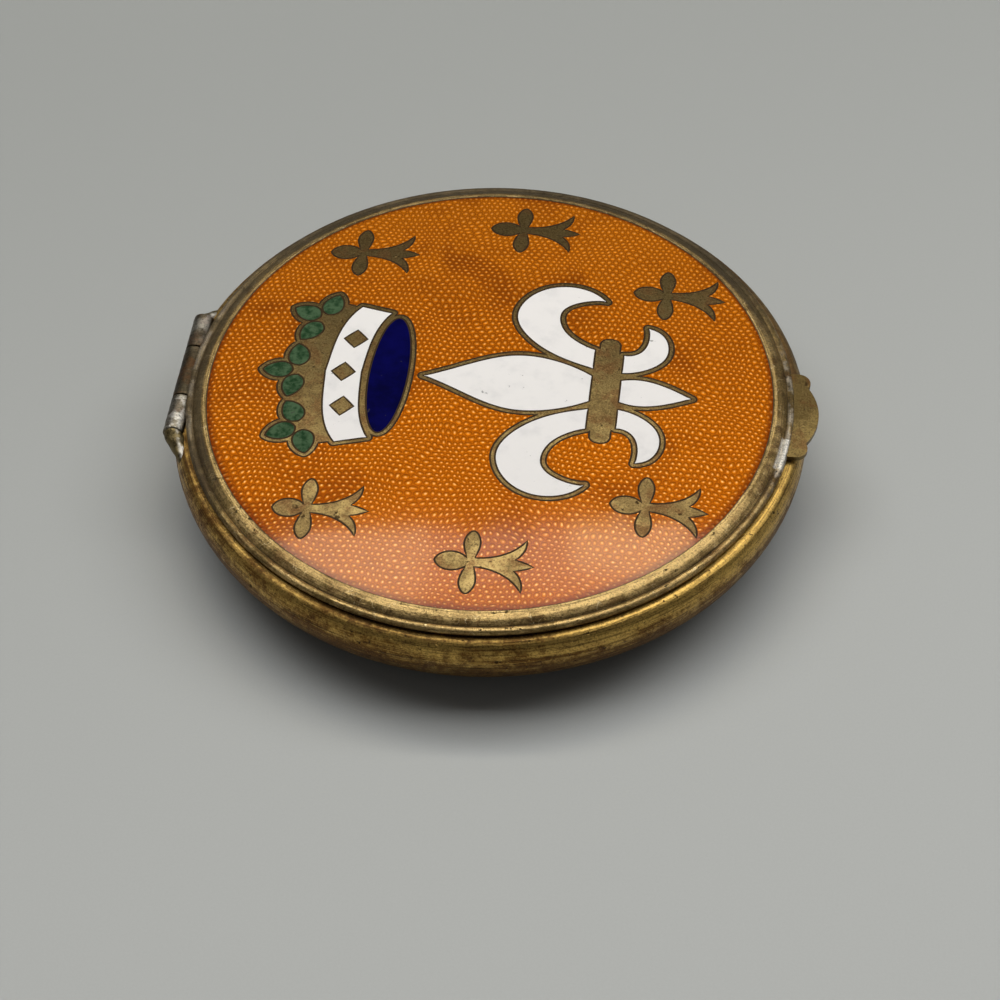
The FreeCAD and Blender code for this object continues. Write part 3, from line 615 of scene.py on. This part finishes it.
def upper_border(node):
    """Points of a node's mesh, and the directed edges round its upper face: those that one face alone has."""
    mesh = nodes[node].data
    mesh.calc_loop_triangles()
    place = np.empty(len(mesh.vertices) * 3)
    mesh.vertices.foreach_get("co", place)
    corners = np.empty(len(mesh.loop_triangles) * 3, int)
    mesh.loop_triangles.foreach_get("vertices", corners)
    place, merged = np.unique(np.round(place.reshape(-1, 3) / MM, 4), axis=0, return_inverse=True)
    corners = merged.reshape(-1)[corners].reshape(-1, 3)
    a, b, c = (place[corners[:, k]] for k in range(3))
    normal = np.cross(b - a, c - a)
    upper = corners[normal[:, 2] > 0.9 * np.linalg.norm(normal, axis=1)]
    edges = np.vstack([upper[:, [0, 1]], upper[:, [1, 2]], upper[:, [2, 0]]])
    code = edges[:, 0] * len(place) + edges[:, 1]
    back = edges[:, 1] * len(place) + edges[:, 0]
    return place, edges[~np.isin(code, back)]


def border_line(node):
    """Low rounded line on the dome along a border, its section laid across the mean of the edges there."""
    place, edges = upper_border(node)
    along = place[edges[:, 1], :2] - place[edges[:, 0], :2]
    along /= np.linalg.norm(along, axis=1)[:, None]
    outward = np.column_stack([along[:, 1], -along[:, 0]])
    mean = np.zeros((len(place), 2))
    np.add.at(mean, edges[:, 0], outward)
    np.add.at(mean, edges[:, 1], outward)
    used, edges = np.unique(edges, return_inverse=True)
    edges = edges.reshape(-1, 2)
    mean = mean[used] / np.maximum(np.linalg.norm(mean[used], axis=1), 1e-6)[:, None]
    flat = place[used, None, :2] + mean[:, None] * LINE_ACROSS[None, :, None]
    rise = DOME_TOP - DOME_BALL + np.sqrt(DOME_BALL ** 2 - (flat ** 2).sum(-1)) + LINE_HEIGHT
    points = np.concatenate([flat, rise[..., None]], -1)
    count = len(LINE_ACROSS)
    this, following = np.arange(count), (np.arange(count) + 1) % count
    first, second = edges[:, :1] * count, edges[:, 1:] * count
    quads = np.stack([first + this, first + following, second + following, second + this], -1)
    return points.reshape(-1, 3), quads.reshape(-1, 4)


line_points, line_quads = border_line("motif_brass")
oxide = Finish("oxide_line")
burnt = oxide.noise(1500, 3)
oxide.set(Base_Color=oxide.mix(burnt, OXIDE_BLACK, OXIDE_BROWN))
oxide.set(Roughness=0.55, Specular_IOR_Level=0.1)
line_mesh = bpy.data.meshes.new("outline_edges")
line_mesh.from_pydata((line_points * MM).tolist(), [], line_quads.tolist())
line_mesh.polygons.foreach_set("use_smooth", np.ones(len(line_quads), bool))
line_mesh.materials.append(oxide.material)
outline_edges = bpy.data.objects.new("outline_edges", line_mesh)
bpy.context.collection.objects.link(outline_edges)
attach(outline_edges, "lid")

# Mirror: round silvered glass with a bevelled edge, and a grey-brown card behind it that takes up the play.
# Both lie loose in the lid and are held by the gilt frame. The silver is a little cloudy with age.

SILVER, SILVER_CLOUDY = (0.86, 0.88, 0.88), (0.74, 0.76, 0.75)
CARD_PALE, CARD_DARK = (0.38, 0.30, 0.21), (0.28, 0.22, 0.15)

silvered = Finish("mirror")
haze = silvered.span(silvered.noise(120, 4, 0.6), 0.5, 0.8)
silvered.set(Base_Color=silvered.mix(haze, SILVER, SILVER_CLOUDY), Metallic=1.0)
silvered.set(Roughness=silvered.span(haze, 0, 1, 0.015, 0.05))
dress("mirror_glass", silvered)

card = Finish("card")
fibre = card.noise(2500, 4, 0.7)
card.set(Base_Color=card.mix(fibre, CARD_PALE, CARD_DARK))
card.set(Roughness=0.9, Normal=card.bump(fibre, 0.00004))
dress("mirror_card", card)

# Table under the case: a plain grey sheet with a fine grain, no part of the object.
# It is a little paler towards the camera, as the light falls off there.

FLOOR_HALF = 1.5
TABLE_FAR, TABLE_NEAR, TABLE_GRAIN = (0.350, 0.360, 0.346), (0.535, 0.547, 0.530), (0.34, 0.35, 0.34)
floor_mesh = bpy.data.meshes.new("floor")
floor_corners = FLOOR_HALF * np.array([(-1, -1, 0), (1, -1, 0), (1, 1, 0), (-1, 1, 0)])
floor_mesh.from_pydata(floor_corners.tolist(), [], [(0, 1, 2, 3)])
floor = bpy.data.objects.new("floor", floor_mesh)
bpy.context.collection.objects.link(floor)
table = Finish("table_grey")
grain = table.noise(4200, 3)
x, y, _ = table.axes()
nearness = table.span(table.math("SUBTRACT", table.times(x, 0.35), y), -110 * MM, 90 * MM)
pale = table.mix(nearness, TABLE_FAR, TABLE_NEAR)
table.set(Base_Color=table.mix(table.times(grain, 0.20), pale, TABLE_GRAIN))
table.set(Roughness=0.6, Specular_IOR_Level=0.3)
floor_mesh.materials.append(table.material)

# Light: a long soft panel high behind the case, weaker ones nearer and overhead, and a dim even room.
# The back panel draws the pale haze over the front of the enamel, two warm panes its brighter patches.

PANEL_TURN = math.radians(6)
DAYLIGHT = (1.0, 1.0, 1.0)
LAMPLIGHT = (1.0, 0.82, 0.40)
PANELS = {
    "panel_back": ((0.12, 0.357, 0.60), (1.30, 0.060), 6.4, DAYLIGHT),
    "panel_near": ((0.12, 0.287, 0.60), (1.30, 0.080), 3.9, DAYLIGHT),
    "panel_over": ((0.12, 0.105, 0.60), (1.30, 0.284), 2.3, DAYLIGHT),
    "pane_left": ((-0.150, 0.325, 0.597), (0.11, 0.075), 5.6, LAMPLIGHT),
    "pane_right": ((0.046, 0.362, 0.597), (0.085, 0.050), 9.6, LAMPLIGHT),
}
for name, (place, size, radiance, tint) in PANELS.items():
    lamp = bpy.data.lights.new(name, "AREA")
    lamp.shape = "RECTANGLE"
    lamp.size, lamp.size_y = size
    lamp.energy = radiance * math.pi * size[0] * size[1]
    lamp.color = tint
    panel = bpy.data.objects.new(name, lamp)
    panel.location = place
    panel.rotation_euler = (0, 0, PANEL_TURN)
    bpy.context.collection.objects.link(panel)

ROOM_LEVEL = 0.09
world = bpy.data.worlds.new("room")
world.use_nodes = True
world.node_tree.nodes["Background"].inputs["Color"].default_value = (1.0, 1.0, 1.0, 1)
world.node_tree.nodes["Background"].inputs["Strength"].default_value = ROOM_LEVEL
bpy.context.scene.world = world

# Camera at the photograph's place: in front of the case and a little to the right of it, looking down.
# It is turned slightly about its own axis.

CAMERA_TARGET = Vector((0, 0, 10.6)) * MM
CAMERA_AIM = Vector((1.48, -5.27, 0)) * MM
CAMERA_DISTANCE = 240 * MM
CAMERA_AZIMUTH, CAMERA_ELEVATION, CAMERA_ROLL = (math.radians(a) for a in (8.01, 46.60, -1.39))
CAMERA_LENS, CAMERA_SENSOR = 87.61, 36
back = Vector((
    math.sin(CAMERA_AZIMUTH) * math.cos(CAMERA_ELEVATION),
    -math.cos(CAMERA_AZIMUTH) * math.cos(CAMERA_ELEVATION),
    math.sin(CAMERA_ELEVATION)))
eye = CAMERA_TARGET + back * CAMERA_DISTANCE
aim = (eye - CAMERA_AIM).normalized()
right = Vector((0, 0, 1)).cross(aim).normalized()
up = aim.cross(right)
level_right = math.cos(CAMERA_ROLL) * right + math.sin(CAMERA_ROLL) * up
level_up = math.cos(CAMERA_ROLL) * up - math.sin(CAMERA_ROLL) * right
camera_data = bpy.data.cameras.new("camera")
camera_data.lens = CAMERA_LENS
camera_data.sensor_width = CAMERA_SENSOR
camera_data.clip_start = 0.01
camera = bpy.data.objects.new("camera", camera_data)
camera.matrix_world = Matrix.Translation(eye) @ Matrix((level_right, level_up, aim)).transposed().to_4x4()
bpy.context.collection.objects.link(camera)
bpy.context.scene.camera = camera

bpy.context.scene.view_settings.view_transform = "Standard"
